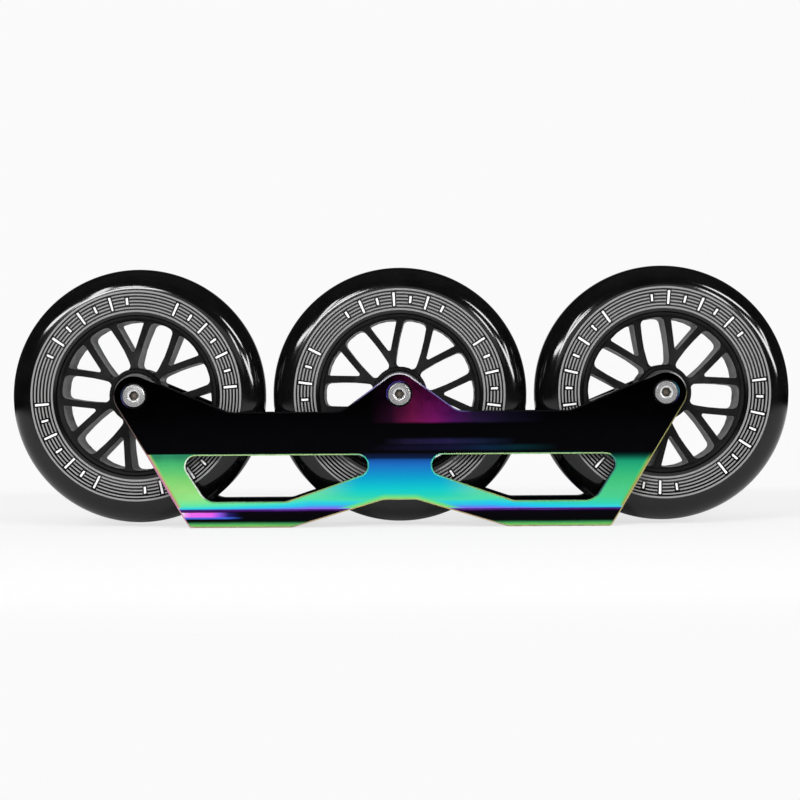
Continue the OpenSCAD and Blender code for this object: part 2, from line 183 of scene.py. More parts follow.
class Wiring:
    """Short calls for the nodes that the finishes are wired from."""

    def __init__(self, tree: bpy.types.NodeTree) -> None:
        """Keeps the tree that the nodes go into."""
        self.tree = tree

    @classmethod
    def of(cls, owner: Union[bpy.types.Material, bpy.types.World]) -> "Wiring":
        """Starts the nodes of a material or a world afresh.

        Args:
            owner: The material or world.

        Returns:
            The wiring of its empty tree.
        """
        owner.use_nodes = True
        owner.node_tree.nodes.clear()
        return cls(owner.node_tree)

    def feed(self, socket: Socket, value: Union[Value, Colour, Vector]) -> None:
        """Gives an input its value.

        Args:
            socket: The input.
            value: A socket to link it to, or a value to set.
        """
        if isinstance(value, bpy.types.NodeSocket):
            self.tree.links.new(value, socket)
        else:
            socket.default_value = value

    def node(self, kind: str, inputs: Optional[Inputs] = None, **settings: object) -> bpy.types.Node:
        """Adds a node.

        Args:
            kind: Blender's name of the node's type.
            inputs: Values or sockets by input name or index.
            settings: The node's own properties.

        Returns:
            The node.
        """
        made = self.tree.nodes.new(kind)
        for name, value in settings.items():
            setattr(made, name, value)
        for key, value in (inputs or {}).items():
            self.feed(made.inputs[key], value)
        return made

    def math(self, operation: str, first: Value, second: Value = 0.0) -> Socket:
        """Result of a Math node."""
        return self.node("ShaderNodeMath", {0: first, 1: second}, operation=operation).outputs[0]

    def plus(self, first: Value, second: Value) -> Socket:
        """Sum of two values."""
        return self.math("ADD", first, second)

    def minus(self, first: Value, second: Value) -> Socket:
        """First value less the second."""
        return self.math("SUBTRACT", first, second)

    def over(self, first: Value, second: Value) -> Socket:
        """First value divided by the second."""
        return self.math("DIVIDE", first, second)

    def larger(self, first: Value, second: Value) -> Socket:
        """Larger of two values."""
        return self.math("MAXIMUM", first, second)

    def apart(self, value: Value) -> Socket:
        """Distance of a value from zero."""
        return self.math("ABSOLUTE", value)

    def times(self, first: Value, *others: Value) -> Value:
        """Multiplies values.

        Args:
            first: The first value.
            others: The other values, if there are any.

        Returns:
            The product.
        """
        for other in others:
            first = self.math("MULTIPLY", first, other)
        return first

    def length(self, first: Socket, second: Socket) -> Socket:
        """Distance that two distances at a right angle make."""
        return self.math("SQRT", self.plus(self.times(first, first), self.times(second, second)))

    def rise(self, value: Value, low: Value, high: Value) -> Socket:
        """Smooth step from 0 at low to 1 at high."""
        inputs = {"Value": value, "From Min": low, "From Max": high}
        return self.node("ShaderNodeMapRange", inputs, interpolation_type="SMOOTHSTEP").outputs["Result"]

    def band(self, value: Value, low: float, high: float, soft: float) -> Socket:
        """Mask of 1 between low and high, with soft edges outside them."""
        return self.times(self.rise(value, low - soft, low), self.rise(value, high + soft, high))

    def spread(self, value: Value, low: float, high: float, start: Value = 0.0, end: Value = 1.0) -> Socket:
        """Straight climb from start to end, while a value goes from low to high."""
        inputs = {"Value": value, "From Min": low, "From Max": high, "To Min": start, "To Max": end}
        return self.node("ShaderNodeMapRange", inputs).outputs["Result"]

    def mix(self, mask: Value, first: Paint, second: Paint, way: Blend = Blend.MIX) -> Socket:
        """Lays the second colour over the first by a mask."""
        inputs = {"Factor": mask, "A": first, "B": second}
        return self.node("ShaderNodeMix", inputs, data_type="RGBA", blend_type=way.value).outputs["Result"]

    def ramp(self, value: Value, stops: Stops) -> Socket:
        """Colours along a value.

        Args:
            value: The value to look up.
            stops: Pairs of a value and its colour, in rising order.

        Returns:
            The colour.
        """
        low, high = stops[0][0], stops[-1][0]
        made = self.node("ShaderNodeValToRGB", {"Fac": self.spread(value, low, high)})
        elements = made.color_ramp.elements
        while len(elements) < len(stops):
            elements.new(0.5)
        for element, (at, _) in zip(elements, stops):
            element.position = (at - low) / (high - low)
        for element, (_, colour) in zip(elements, stops):
            element.color = colour
        return made.outputs["Color"]

    def place_mm(self) -> tuple[Socket, Socket, Socket]:
        """Reads the part's own coordinates.

        Returns:
            X, Y and Z, in millimetres.
        """
        where = self.node("ShaderNodeTexCoord").outputs["Object"]
        scaled = self.node("ShaderNodeMapping", {"Vector": where, "Scale": Vector((1 / MM,) * 3)})
        x, y, z = self.node("ShaderNodeSeparateXYZ", {0: scaled.outputs[0]}).outputs
        return x, y, z

    def from_axle_mm(self) -> Socket:
        """Measures how far the surface lies from the nearest axle.

        Returns:
            The distance, in millimetres.
        """
        x, _, z = self.place_mm()
        along = self.math("PINGPONG", x, AXLE_PITCH_MM / 2)
        return self.length(along, self.minus(z, AXLE_HEIGHT_MM))


class Grain:
    """Fine grain shared by the finishes: a value that wanders over the surface."""

    NAME = "fine_grain"
    DETAIL = 3.0
    ROUGHNESS = 0.6
    NOISE_SPAN = (0.3, 0.7)

    @classmethod
    def tree(cls) -> bpy.types.NodeTree:
        """Builds the node group at the first call.

        Returns:
            A group with the inputs Size, Low and High and the output Value.
        """
        if cls.NAME in bpy.data.node_groups:
            return bpy.data.node_groups[cls.NAME]
        tree = bpy.data.node_groups.new(cls.NAME, "ShaderNodeTree")
        for name, value in (("Size", 1.0), ("Low", 0.0), ("High", 1.0)):
            given = tree.interface.new_socket(name, in_out="INPUT", socket_type="NodeSocketFloat")
            given.default_value = value
        tree.interface.new_socket("Value", in_out="OUTPUT", socket_type="NodeSocketFloat")
        wiring = Wiring(tree)
        inputs = wiring.node("NodeGroupInput").outputs
        noise = wiring.node("ShaderNodeTexNoise", {
            "Vector": wiring.node("ShaderNodeTexCoord").outputs["Object"],
            "Scale": wiring.over(1 / MM, inputs["Size"]),
            "Detail": cls.DETAIL,
            "Roughness": cls.ROUGHNESS,
        })
        value = wiring.spread(noise.outputs[0], *cls.NOISE_SPAN, inputs["Low"], inputs["High"])
        wiring.node("NodeGroupOutput", {"Value": value})
        return tree

    @classmethod
    def value(cls, wiring: Wiring, size_mm: float, low: float, high: float) -> Socket:
        """Places the group in a material.

        Args:
            wiring: The material's wiring.
            size_mm: Size of the grain.
            low: Lowest value.
            high: Highest value.

        Returns:
            The wandering value.
        """
        made = wiring.node("ShaderNodeGroup", node_tree=cls.tree())
        for name, number in (("Size", size_mm), ("Low", low), ("High", high)):
            made.inputs[name].default_value = number
        return made.outputs["Value"]


@dataclass(frozen=True)
class Finish:
    """A surface of one Principled shader, whose colour, roughness and relief the subclasses wire."""

    name: str

    def material(self) -> bpy.types.Material:
        """Builds the finish's material at the first call.

        Returns:
            The material.
        """
        name = f"{self.name}_finish"
        if name in bpy.data.materials:
            return bpy.data.materials[name]
        made = bpy.data.materials.new(name)
        wiring = Wiring.of(made)
        shader = wiring.node("ShaderNodeBsdfPrincipled")
        wiring.node("ShaderNodeOutputMaterial", {"Surface": shader.outputs[0]})
        self.wire(wiring, shader)
        return made

    def wire(self, wiring: Wiring, shader: bpy.types.Node) -> None:
        """Wires the shader's inputs; each subclass has its own."""
        raise NotImplementedError

    def relief(self, wiring: Wiring, shader: bpy.types.Node, height: Socket, depth_mm: float) -> None:
        """Turns a height into bumps, which are of the given depth where the height is 1."""
        bump = wiring.node("ShaderNodeBump", {"Height": height, "Strength": 1.0, "Distance": depth_mm * MM})
        wiring.feed(shader.inputs["Normal"], bump.outputs["Normal"])


@dataclass
class FrameGauge:
    """Tells where a point of the frame's surface lies, with each measure wired at its first use.

    The colours climb the slopes' foot at one rate in the middle of the frame and at another at its ends.
    """

    wiring: Wiring
    wander_mm: float
    wander_size_mm: float = 26.0
    lift_mm: float = 0.7
    foot_mm: float = 8.5
    foot_reach_mm: float = 4.0
    foot_along_mm: Span = (43.0, 98.0)
    foot_rates: Span = (0.3, 1.1)
    arch_rise_mm: float = 13.1
    arch_crown_mm: float = 8.0
    arch_slope: float = 0.301
    end_foot_mm: float = 100.5
    end_slope: float = 0.61
    wave_per_mm: float = 0.045
    known: dict[Axis, Socket] = field(init=False)

    def __post_init__(self) -> None:
        """Reads the frame's own X, Y and Z, and lets the height wander."""
        x, y, z = self.wiring.place_mm()
        if self.wander_mm:
            wander = Grain.value(self.wiring, self.wander_size_mm, -self.wander_mm, self.wander_mm)
            z = self.wiring.plus(z, wander)
        self.known = {Axis.X: x, Axis.ACROSS: self.wiring.apart(y), Axis.Z: z}

    def read(self, axis: Axis) -> Socket:
        """Reads a measure.

        Args:
            axis: What is measured.

        Returns:
            Its value, which is in millimetres except for the wave's.
        """
        makers = {
            Axis.ALONG: self.along,
            Axis.SLANT: self.slant,
            Axis.TABLE: self.table_height,
            Axis.ARCH: self.above_arch,
            Axis.END: self.from_end,
            Axis.AXLE: self.wiring.from_axle_mm,
            Axis.WAVE: self.wave,
        }
        if axis not in self.known:
            self.known[axis] = makers[axis]()
        return self.known[axis]

    def along(self) -> Socket:
        """Distance from the middle wheel, to either end."""
        return self.wiring.apart(self.read(Axis.X))

    def slant(self) -> Socket:
        """Height less the place along X."""
        return self.wiring.minus(self.read(Axis.Z), self.read(Axis.X))

    def wave(self) -> Socket:
        """A wave from -1 to 1 along X."""
        return self.wiring.math("SINE", self.wiring.times(self.read(Axis.X), self.wave_per_mm))

    def table_height(self) -> Socket:
        """Works out the height at which the colours of the slopes are looked up.

        Returns:
            The height.
        """
        wiring, z = self.wiring, self.read(Axis.Z)
        climb = wiring.larger(wiring.minus(z, self.foot_mm), 0.0)
        climb = wiring.math("MINIMUM", climb, self.foot_reach_mm)
        gains = [rate - 1 for rate in self.foot_rates]
        gain = wiring.spread(self.read(Axis.ALONG), *self.foot_along_mm, *gains)
        return wiring.plus(wiring.plus(z, self.lift_mm), wiring.times(gain, climb))

    def above_arch(self) -> Socket:
        """Measures from the arch's edge, which is level at its crown and falls to both sides.

        Returns:
            The distance, square to the edge where it falls.
        """
        wiring = self.wiring
        past_crown = wiring.larger(wiring.minus(self.read(Axis.ALONG), self.arch_crown_mm), 0.0)
        edge = wiring.minus(self.arch_rise_mm, wiring.times(past_crown, self.arch_slope))
        return wiring.over(wiring.minus(self.read(Axis.Z), edge), math.hypot(1.0, self.arch_slope))

    def from_end(self) -> Socket:
        """Measures from the leaning edge at either end of the frame.

        Returns:
            The distance, square to the edge.
        """
        wiring = self.wiring
        edge = wiring.plus(wiring.times(self.read(Axis.Z), self.end_slope), self.end_foot_mm)
        return wiring.over(wiring.minus(edge, self.read(Axis.ALONG)), math.hypot(1.0, self.end_slope))


@dataclass(frozen=True)
class Patch:
    """A patch of the oxide film.

    It has one colour, or colours by an axis, with smaller patches over them. Each of its fades brings it in
    along an axis, from nothing at the first value to all of it at the second.
    """

    name: str
    paint: Union[Colour, Stops]
    fades: tuple[Fade, ...] = ()
    by: Optional[Axis] = None
    way: Blend = Blend.MIX
    over: tuple["Patch", ...] = ()

    def colour(self, gauge: FrameGauge) -> Paint:
        """Works out the patch's colours, with the smaller patches over them.

        Args:
            gauge: Where the surface lies.

        Returns:
            The colour.
        """
        made = self.paint if self.by is None else gauge.wiring.ramp(gauge.read(self.by), self.paint)
        for patch in self.over:
            made = patch.laid(gauge, made)
        return made

    def laid(self, gauge: FrameGauge, ground: Paint) -> Socket:
        """Lays the patch over a ground.

        Args:
            gauge: Where the surface lies.
            ground: The ground's colour.

        Returns:
            The colour of both.
        """
        wiring = gauge.wiring
        masks = [wiring.rise(gauge.read(axis), start, full) for axis, start, full in self.fades]
        made = wiring.mix(wiring.times(*masks), ground, self.colour(gauge), self.way)
        made.node.label = self.name
        return made


@dataclass(frozen=True)
class Oxide(Finish):
    """Metal under an oxide film, whose colours are patches placed on the frame."""

    metallic: float = 1.0
    roughness: Span = (0.07, 0.13)
    polish_mm: float = 9.0
    wander_mm: float = 0.0
    wall_outside_mm: float = 15.6
    wall_inside_mm: float = 14.2

    def film(self) -> Patch:
        """The whole film; each subclass has its own."""
        raise NotImplementedError

    def inwards(self) -> Fade:
        """Fade from the walls' outer faces to the inside of the channel."""
        return Axis.ACROSS, self.wall_outside_mm, self.wall_inside_mm

    def wire(self, wiring: Wiring, shader: bpy.types.Node) -> None:
        """Metal in the film's colours.

        Args:
            wiring: The material's wiring.
            shader: Its shader.
        """
        gauge = FrameGauge(wiring, self.wander_mm)
        wiring.feed(shader.inputs["Base Color"], self.film().colour(gauge))
        shader.inputs["Metallic"].default_value = self.metallic
        wiring.feed(shader.inputs["Roughness"], Grain.value(wiring, self.polish_mm, *self.roughness))


@dataclass(frozen=True)
class OxideFilm(Oxide):
    """The polished film, which runs through the colours with the height above the boot face."""

    name: str = "oxide_film"
    wander_mm: float = 0.12
    flange_mm: float = 8.8
    crease_mm: float = CREASE_MM
    crease_soft_mm: float = 0.12
    front_tint: Colour = (0.25, 0.86, 1.25, 1.0)
    front_dark_mm: float = 5.2

    def film(self) -> Patch:
        """Colours of the slopes by height, from the boot face to the walls, and what lies over them.

        Returns:
            The whole film.
        """
        slopes = [
            (0.0, srgb(214, 196, 160)),
            (1.0, srgb(156, 202, 120)),
            (2.1, srgb(106, 194, 102)),
            (3.0, srgb(64, 142, 92)),
            (3.7, srgb(14, 30, 20)),
            (4.2, srgb(11, 11, 13)),
            (8.1, srgb(13, 10, 16)),
            (8.6, srgb(28, 6, 50)),
            (9.0, srgb(90, 30, 130)),
            # This violet is painted brighter than the film, a painted highlight that makes up for the
            # darker reflection where the smoothed slope meets the flange.
            (9.35, srgb(140, 104, 240)),
            (9.62, srgb(88, 142, 238)),
            (9.86, srgb(54, 190, 232)),
            (10.1, srgb(42, 203, 226)),
            (10.4, srgb(58, 213, 219)),
            (10.9, srgb(80, 223, 184)),
            (12.6, srgb(114, 227, 152)),
            (15.0, srgb(142, 221, 130)),
            (19.0, srgb(146, 214, 122)),
            (24.0, srgb(122, 204, 110)),
            (28.0, srgb(92, 190, 110)),
            (32.0, srgb(64, 168, 103)),
            (34.7, srgb(43, 127, 89)),
        ]
        over = (self.front(), self.bridge(), self.arch_edge(), self.rear_flange(), self.ends())
        over += (self.under_crease(), self.wall(), self.inside())
        return Patch("slopes", slopes, by=Axis.TABLE, over=over)

    def front(self) -> Patch:
        """Tint that cools the slopes towards the front."""
        fades = ((Axis.X, 20.0, 78.0), (Axis.Z, self.flange_mm, 11.0))
        return Patch("front", self.front_tint, fades, way=Blend.MULTIPLY)

    def bridge(self) -> Patch:
        """Turquoise and blue of the bridge between the side windows, from the arch to the walls.

        Returns:
            The patch.
        """
        blues = [
            (12.2, srgb(60, 212, 172)),
            (14.0, srgb(48, 212, 178)),
            (16.0, srgb(33, 208, 192)),
            (18.0, srgb(20, 200, 204)),
            (21.0, srgb(15, 180, 206)),
            (24.0, srgb(16, 156, 204)),
            (27.0, srgb(24, 132, 200)),
            (30.0, srgb(30, 106, 190)),
            (31.8, srgb(26, 84, 160)),
            (32.8, srgb(15, 32, 66)),
            (self.crease_mm, srgb(16, 15, 34)),
        ]
        return Patch("bridge", blues, ((Axis.ALONG, 58.0, 18.0), (Axis.Z, 11.0, 15.0)), Axis.Z)

    def arch_edge(self) -> Patch:
        """Lime along the arch."""
        limes = [(0.0, srgb(158, 222, 118)), (1.2, srgb(112, 220, 132)), (2.8, srgb(60, 213, 168))]
        return Patch("arch_edge", limes, ((Axis.ARCH, 3.0, 1.4), (Axis.Z, self.flange_mm, 9.6)), Axis.ARCH)

    def rear_flange(self) -> Patch:
        """Pink film on the rear end of the flange, with a painted highlight that runs to near white at the
        end, above a blue line.

        Returns:
            The patch.
        """
        pinks_and_highlight = [
            (-104.0, srgb(250, 240, 255)),
            (-102.6, srgb(252, 170, 252)),
            (-100.0, srgb(255, 118, 255)),
            (-90.0, srgb(255, 108, 255)),
            (-86.0, srgb(150, 92, 240)),
            (-82.0, srgb(50, 36, 120)),
            (-74.0, srgb(12, 10, 16)),
        ]
        line = Patch("blue_line", srgb(70, 110, 236), ((Axis.Z, 5.6, 4.8),))
        fades = (*between(Axis.Z, 4.6, 7.2, 0.5), (Axis.X, -74.0, -84.0))
        return Patch("rear_flange", pinks_and_highlight, fades, Axis.X, over=(line,))

    def ends(self) -> Patch:
        """Rose by the rear end and olive by the front end.

        Returns:
            The patch.
        """
        roses = [(0.6, srgb(206, 128, 170)), (1.1, srgb(180, 166, 112)), (1.9, srgb(146, 198, 102))]
        olives = [(0.6, srgb(176, 160, 96)), (1.1, srgb(132, 176, 84)), (1.9, srgb(88, 196, 104))]
        front = Patch("front_end", olives, (FRONT_HALF,), Axis.END)
        fades = ((Axis.END, 2.6, 1.0), (Axis.Z, 9.0, 10.5))
        return Patch("rear_end", roses, fades, Axis.END, over=(front,))

    def under_crease(self) -> Patch:
        """Near black under the crease at the front."""
        fades = ((Axis.X, 80.0, 92.0), (Axis.Z, self.crease_mm - self.front_dark_mm, self.crease_mm))
        return Patch("under_crease", srgb(4, 14, 14), fades)

    def wall(self) -> Patch:
        """Near black on the upright walls, with two blue streaks and a crimson patch by the middle axle.

        Returns:
            The patch.
        """
        dark = srgb(9, 9, 12)
        upper = [
            (-8.0, dark),
            (4.0, srgb(34, 28, 56)),
            (22.0, srgb(37, 32, 72)),
            (40.0, srgb(23, 33, 57)),
            (56.0, dark),
        ]
        lower = [
            (-14.0, dark),
            (0.0, srgb(21, 18, 38)),
            (24.0, srgb(24, 23, 52)),
            (42.0, srgb(17, 38, 64)),
            (58.0, srgb(11, 42, 48)),
            (76.0, dark),
        ]
        crimsons = [
            (-14.0, dark),
            (-4.0, srgb(52, 20, 46)),
            (6.0, srgb(142, 34, 93)),
            (17.0, srgb(151, 33, 128)),
            (26.0, srgb(98, 32, 114)),
            (36.0, srgb(52, 36, 77)),
            (52.0, srgb(28, 24, 44)),
            (70.0, dark),
        ]
        over = (
            Patch("upper_streak", upper, between(Axis.Z, 40.2, 41.2, 1.6), Axis.X),
            Patch("lower_streak", lower, between(Axis.Z, 37.2, 38.2, 1.5), Axis.X),
            Patch("crimson", crimsons, ((Axis.Z, 49.0, 50.6),), Axis.X),
        )
        above_crease = (Axis.Z, self.crease_mm - self.crease_soft_mm, self.crease_mm + self.crease_soft_mm)
        return Patch("wall", dark, (above_crease,), over=over)

    def inside(self) -> Patch:
        """Slow dark bands inside the channel and under the decks, which end below the arms.

        Returns:
            The patch.
        """
        bands = [(-1.0, srgb(24, 14, 40)), (0.0, srgb(20, 30, 58)), (1.0, srgb(18, 48, 52))]
        arms = Patch("inside_arms", srgb(8, 8, 10), ((Axis.Z, 24.0, 34.0),))
        return Patch("inside", bands, (self.inwards(),), Axis.WAVE, over=(arms,))


@dataclass(frozen=True)
class OxideEdge(Oxide):
    """The film on the narrow chamfers, painted paler as partly film colour and partly painted highlight,
    and rougher and less metallic so that it scatters more light.
    """

    name: str = "oxide_edge"
    metallic: float = 0.5
    roughness: Span = (0.22, 0.34)

    def film(self) -> Patch:
        """Colours of the chamfers by height, partly the film's and partly painted highlight, and what lies
        over them.

        Returns:
            The whole film.
        """
        edges = [
            (0.0, srgb(186, 160, 140)),
            (9.0, srgb(196, 172, 112)),
            (13.4, srgb(176, 196, 122)),
            (24.0, srgb(120, 192, 130)),
            (33.6, srgb(190, 230, 158)),
            (35.2, srgb(208, 242, 170)),
            (36.2, srgb(22, 20, 24)),
            (52.0, srgb(16, 14, 20)),
        ]
        inside = Patch("inside", srgb(12, 10, 16), (self.inwards(),))
        over = (*self.window_edges(), self.end_edges(), *self.boss_edges(), inside)
        return Patch("edges", edges, by=Axis.Z, over=over)

    def window_edges(self) -> tuple[Patch, ...]:
        """Green along the windows' sills, teal round the bridge, and white on the rear strut, each partly
        the film's colour and partly painted highlight, the white most of all.

        Returns:
            The patches.
        """
        on_sill = ((Axis.ALONG, 52.0, 57.0), *between(Axis.Z, 12.0, 14.0, 1.0))
        on_bridge = ((Axis.ALONG, 30.0, 16.0), *between(Axis.Z, 16.0, 33.6, 2.0))
        on_strut = ((Axis.ALONG, 82.0, 88.0), *between(Axis.Z, 14.5, 33.4, 1.0))
        front = Patch("front_strut", srgb(72, 140, 132), (FRONT_HALF,))
        return (
            Patch("sill", srgb(120, 206, 136), on_sill),
            Patch("bridge", srgb(90, 226, 196), on_bridge),
            Patch("strut", srgb(228, 246, 226), on_strut, over=(front,)),
        )

    def end_edges(self) -> Patch:
        """Rose at the rear end and olive at the front end, partly film colour and partly painted highlight,
        both dim above the crease.

        Returns:
            The patch.
        """
        roses = [
            (2.0, srgb(214, 150, 176)),
            (20.0, srgb(206, 128, 170)),
            (34.0, srgb(196, 140, 140)),
            (39.0, srgb(112, 88, 78)),
            (60.0, srgb(84, 70, 70)),
        ]
        olives = [(2.0, srgb(190, 168, 116)), (34.0, srgb(176, 176, 104)), (60.0, srgb(110, 104, 66))]
        front = Patch("front_end", olives, (FRONT_HALF,), Axis.Z)
        return Patch("rear_end", roses, ((Axis.END, 2.6, 1.3),), Axis.Z, over=(front,))

    def boss_edges(self) -> tuple[Patch, ...]:
        """Painted highlights: lilac on the middle boss's flanks and pale arcs over the bosses; near black
        round the bolts, with painted glints in the film's colours at their edges.

        Returns:
            The patches.
        """
        dark = srgb(16, 14, 20)
        # Painted highlight arcs over the bosses, by X, dimmer at the rear.
        highlight_whites = [(20.0, srgb(228, 228, 238)), (60.0, grey(84)), (129.0, grey(84)), (132.0, grey(206))]
        teal_glints = [
            (58.0, dark),
            (61.0, srgb(40, 32, 104)),
            (64.5, srgb(72, 148, 170)),
            (69.5, srgb(20, 40, 40)),
        ]
        violet_glints = [(57.5, dark), (60.0, srgb(96, 84, 150)), (64.5, srgb(52, 70, 110)), (69.0, dark)]
        # Painted highlights along the rising edges of the middle boss, dimmer to the front.
        on_flank = ((Axis.X, -24.0, -13.0), (Axis.X, 36.0, 26.0), (Axis.Z, 52.0, 55.0))
        front_flank = Patch("front_flank", srgb(112, 106, 166), ((Axis.X, 8.0, 16.0),))
        rear_arc = Patch("rear_arc", grey(110), ((Axis.X, -20.0, -60.0),))
        # Painted glints in the film's colours round the bolts: upper left of the middle one, outer side of
        # the end ones.
        rings = (
            Patch("glint", srgb(84, 68, 176), ((Axis.ALONG, 14.0, 9.0), (Axis.SLANT, 65.0, 69.0))),
            Patch("front_ring", teal_glints, ((Axis.X, 128.0, 132.6),), Axis.Z),
            Patch("rear_ring", violet_glints, ((Axis.X, -128.0, -132.6),), Axis.Z),
        )
        return (
            Patch("flank", srgb(146, 136, 196), on_flank, over=(front_flank,)),
            Patch("arc", highlight_whites, ((Axis.AXLE, 12.4, 11.0), (Axis.Z, 64.0, 71.0)), Axis.X, over=(rear_arc,)),
            Patch("ring", dark, ((Axis.AXLE, 7.6, 6.8),), over=rings),
        )


@dataclass(frozen=True)
class SatinSteel(Finish):
    """Steel turned on a lathe, with fine rings about each axle."""

    name: str = "satin_steel"
    level: int = 214
    roughness: Span = (0.24, 0.36)
    grain_mm: float = 0.6
    metallic: float = 1.0
    level_spread: int = 14
    ring_pitch_mm: float = 0.34
    ring_depth_mm: float = 0.003

    def shade(self, wiring: Wiring) -> Socket:
        """The level, which wanders a little."""
        wander = Grain.value(wiring, self.grain_mm, 0.0, 1.0)
        return wiring.mix(wander, grey(self.level - self.level_spread), grey(self.level))

    def wire(self, wiring: Wiring, shader: bpy.types.Node) -> None:
        """Neutral metal with turned rings.

        Args:
            wiring: The material's wiring.
            shader: Its shader.
        """
        wiring.feed(shader.inputs["Base Color"], self.shade(wiring))
        shader.inputs["Metallic"].default_value = self.metallic
        wiring.feed(shader.inputs["Roughness"], Grain.value(wiring, self.grain_mm, *self.roughness))
        rings = wiring.math("SINE", wiring.times(wiring.from_axle_mm(), math.tau / self.ring_pitch_mm))
        self.relief(wiring, shader, rings, self.ring_depth_mm)


@dataclass(frozen=True)
class BoltSteel(SatinSteel):
    """Steel of the axle bolts, with a painted highlight round the socket's mouth and painted shade inside
    it.
    """

    # Levels by radius: a painted highlight at the socket's mouth, then turned rings that are partly painted
    # light.
    TURNED_RINGS_AND_HIGHLIGHTS = ((2.8, 236), (3.0, 180), (3.5, 138), (4.0, 166), (4.45, 136), (4.8, 156), (5.2, 178))
    name: str = "bolt_steel"
    metallic: float = 0.75
    worn_low: int = 226
    worn_high: int = 255
    face_y_mm: float = -18.0
    mouth_depth_mm: float = 0.9
    socket_depth_mm: float = 3.0
    socket_r_mm: float = 2.4
    depth_soft_mm: float = 0.05
    radius_soft_mm: float = 0.1

    def shade(self, wiring: Wiring) -> Socket:
        """Rings of the turned face along the radius, partly turning marks and partly painted light, with a
        painted highlight at the socket's mouth, and the socket's dark floor as painted shade, darker
        towards its corners.

        Args:
            wiring: The material's wiring.

        Returns:
            The colour.
        """
        radius = wiring.from_axle_mm()
        turned = wiring.ramp(radius, grey_stops(self.TURNED_RINGS_AND_HIGHLIGHTS))
        wear = Grain.value(wiring, self.grain_mm, 0.0, 1.0)
        worn = wiring.mix(wear, grey(self.worn_low), grey(self.worn_high))
        steel = wiring.mix(1.0, turned, worn, Blend.MULTIPLY)
        # Painted shade on the socket's floor, darker towards its corners.
        socket_shades = [(0.4, srgb(104, 97, 88)), (1.4, srgb(72, 66, 60)), (2.2, srgb(34, 30, 26))]
        _, y, _ = wiring.place_mm()
        mouth = self.face_y_mm + self.mouth_depth_mm
        bottom = self.face_y_mm + self.socket_depth_mm
        sunk = wiring.band(y, mouth, bottom, self.depth_soft_mm)
        within = wiring.rise(radius, self.socket_r_mm + self.radius_soft_mm, self.socket_r_mm)
        return wiring.mix(wiring.times(sunk, within), steel, wiring.ramp(radius, socket_shades))


@dataclass(frozen=True)
class MouldedNylon(Finish):
    """Nylon filled with glass fibre, satin and slightly grained from its mould."""

    name: str = "moulded_nylon"
    level: int = 34
    roughness: Span = (0.4, 0.54)
    grain_mm: float = 0.5
    relief_mm: float = 0.02
    specular: float = 0.5
    cloud_mm: float = 7.0
    cloud_spread: int = 5
    gloss_mm: float = 3.0

    def shade(self, wiring: Wiring, off: int) -> Paint:
        """The level, moved by an offset."""
        return grey(self.level + off)

    def wire(self, wiring: Wiring, shader: bpy.types.Node) -> None:
        """Dark grey with a fine grain.

        Args:
            wiring: The material's wiring.
            shader: Its shader.
        """
        cloud = Grain.value(wiring, self.cloud_mm, 0.0, 1.0)
        dark, light = self.shade(wiring, -self.cloud_spread), self.shade(wiring, self.cloud_spread)
        wiring.feed(shader.inputs["Base Color"], wiring.mix(cloud, dark, light))
        wiring.feed(shader.inputs["Roughness"], Grain.value(wiring, self.gloss_mm, *self.roughness))
        shader.inputs["Specular IOR Level"].default_value = self.specular
        self.relief(wiring, shader, Grain.value(wiring, self.grain_mm, 0.0, 1.0), self.relief_mm)


@dataclass(frozen=True)
class CoreNylon(MouldedNylon):
    """Nylon of the wheel cores: black in front, with the walls of the gaps painted pale as painted light
    from the white backdrop.

    A face attribute of the core's mesh tells those walls apart.
    """

    GAP_WALL = "gap_wall"
    # Front levels by radius: the boss near black, and the spokes a little lighter near it as a painted
    # sheen.
    FRONT = ((13.0, 8), (14.0, 16), (22.0, 17), (30.0, 14), (36.4, 13), (38.8, 18))
    name: str = "core_nylon"
    gap_wall_lit_level: int = 106
    specular: float = 0.07

    def shade(self, wiring: Wiring, off: int) -> Socket:
        """The level along the radius, and the painted light on the gaps' walls.

        Args:
            wiring: The material's wiring.
            off: Offset of the level.

        Returns:
            The colour.
        """
        front = wiring.ramp(wiring.from_axle_mm(), grey_stops(self.FRONT, off))
        wall = wiring.node("ShaderNodeAttribute", attribute_name=self.GAP_WALL).outputs["Fac"]
        # Painted light: the gaps' walls are painted pale, as if lit by the white backdrop.
        return wiring.mix(wall, front, grey(self.gap_wall_lit_level + off))


@dataclass(frozen=True)
class OxideReveal(MouldedNylon):
    """The film on the windows' inner faces and the walls' upper edges, where it is matt and near black."""

    name: str = "oxide_reveal"
    level: int = 10
    roughness: Span = (0.5, 0.65)
    relief_mm: float = 0.004
    specular: float = 0.05


@dataclass(frozen=True)
class SealRubber(MouldedNylon):
    """Black rubber of the bearing shields."""

    name: str = "seal_rubber"
    level: int = 26
    roughness: Span = (0.55, 0.7)


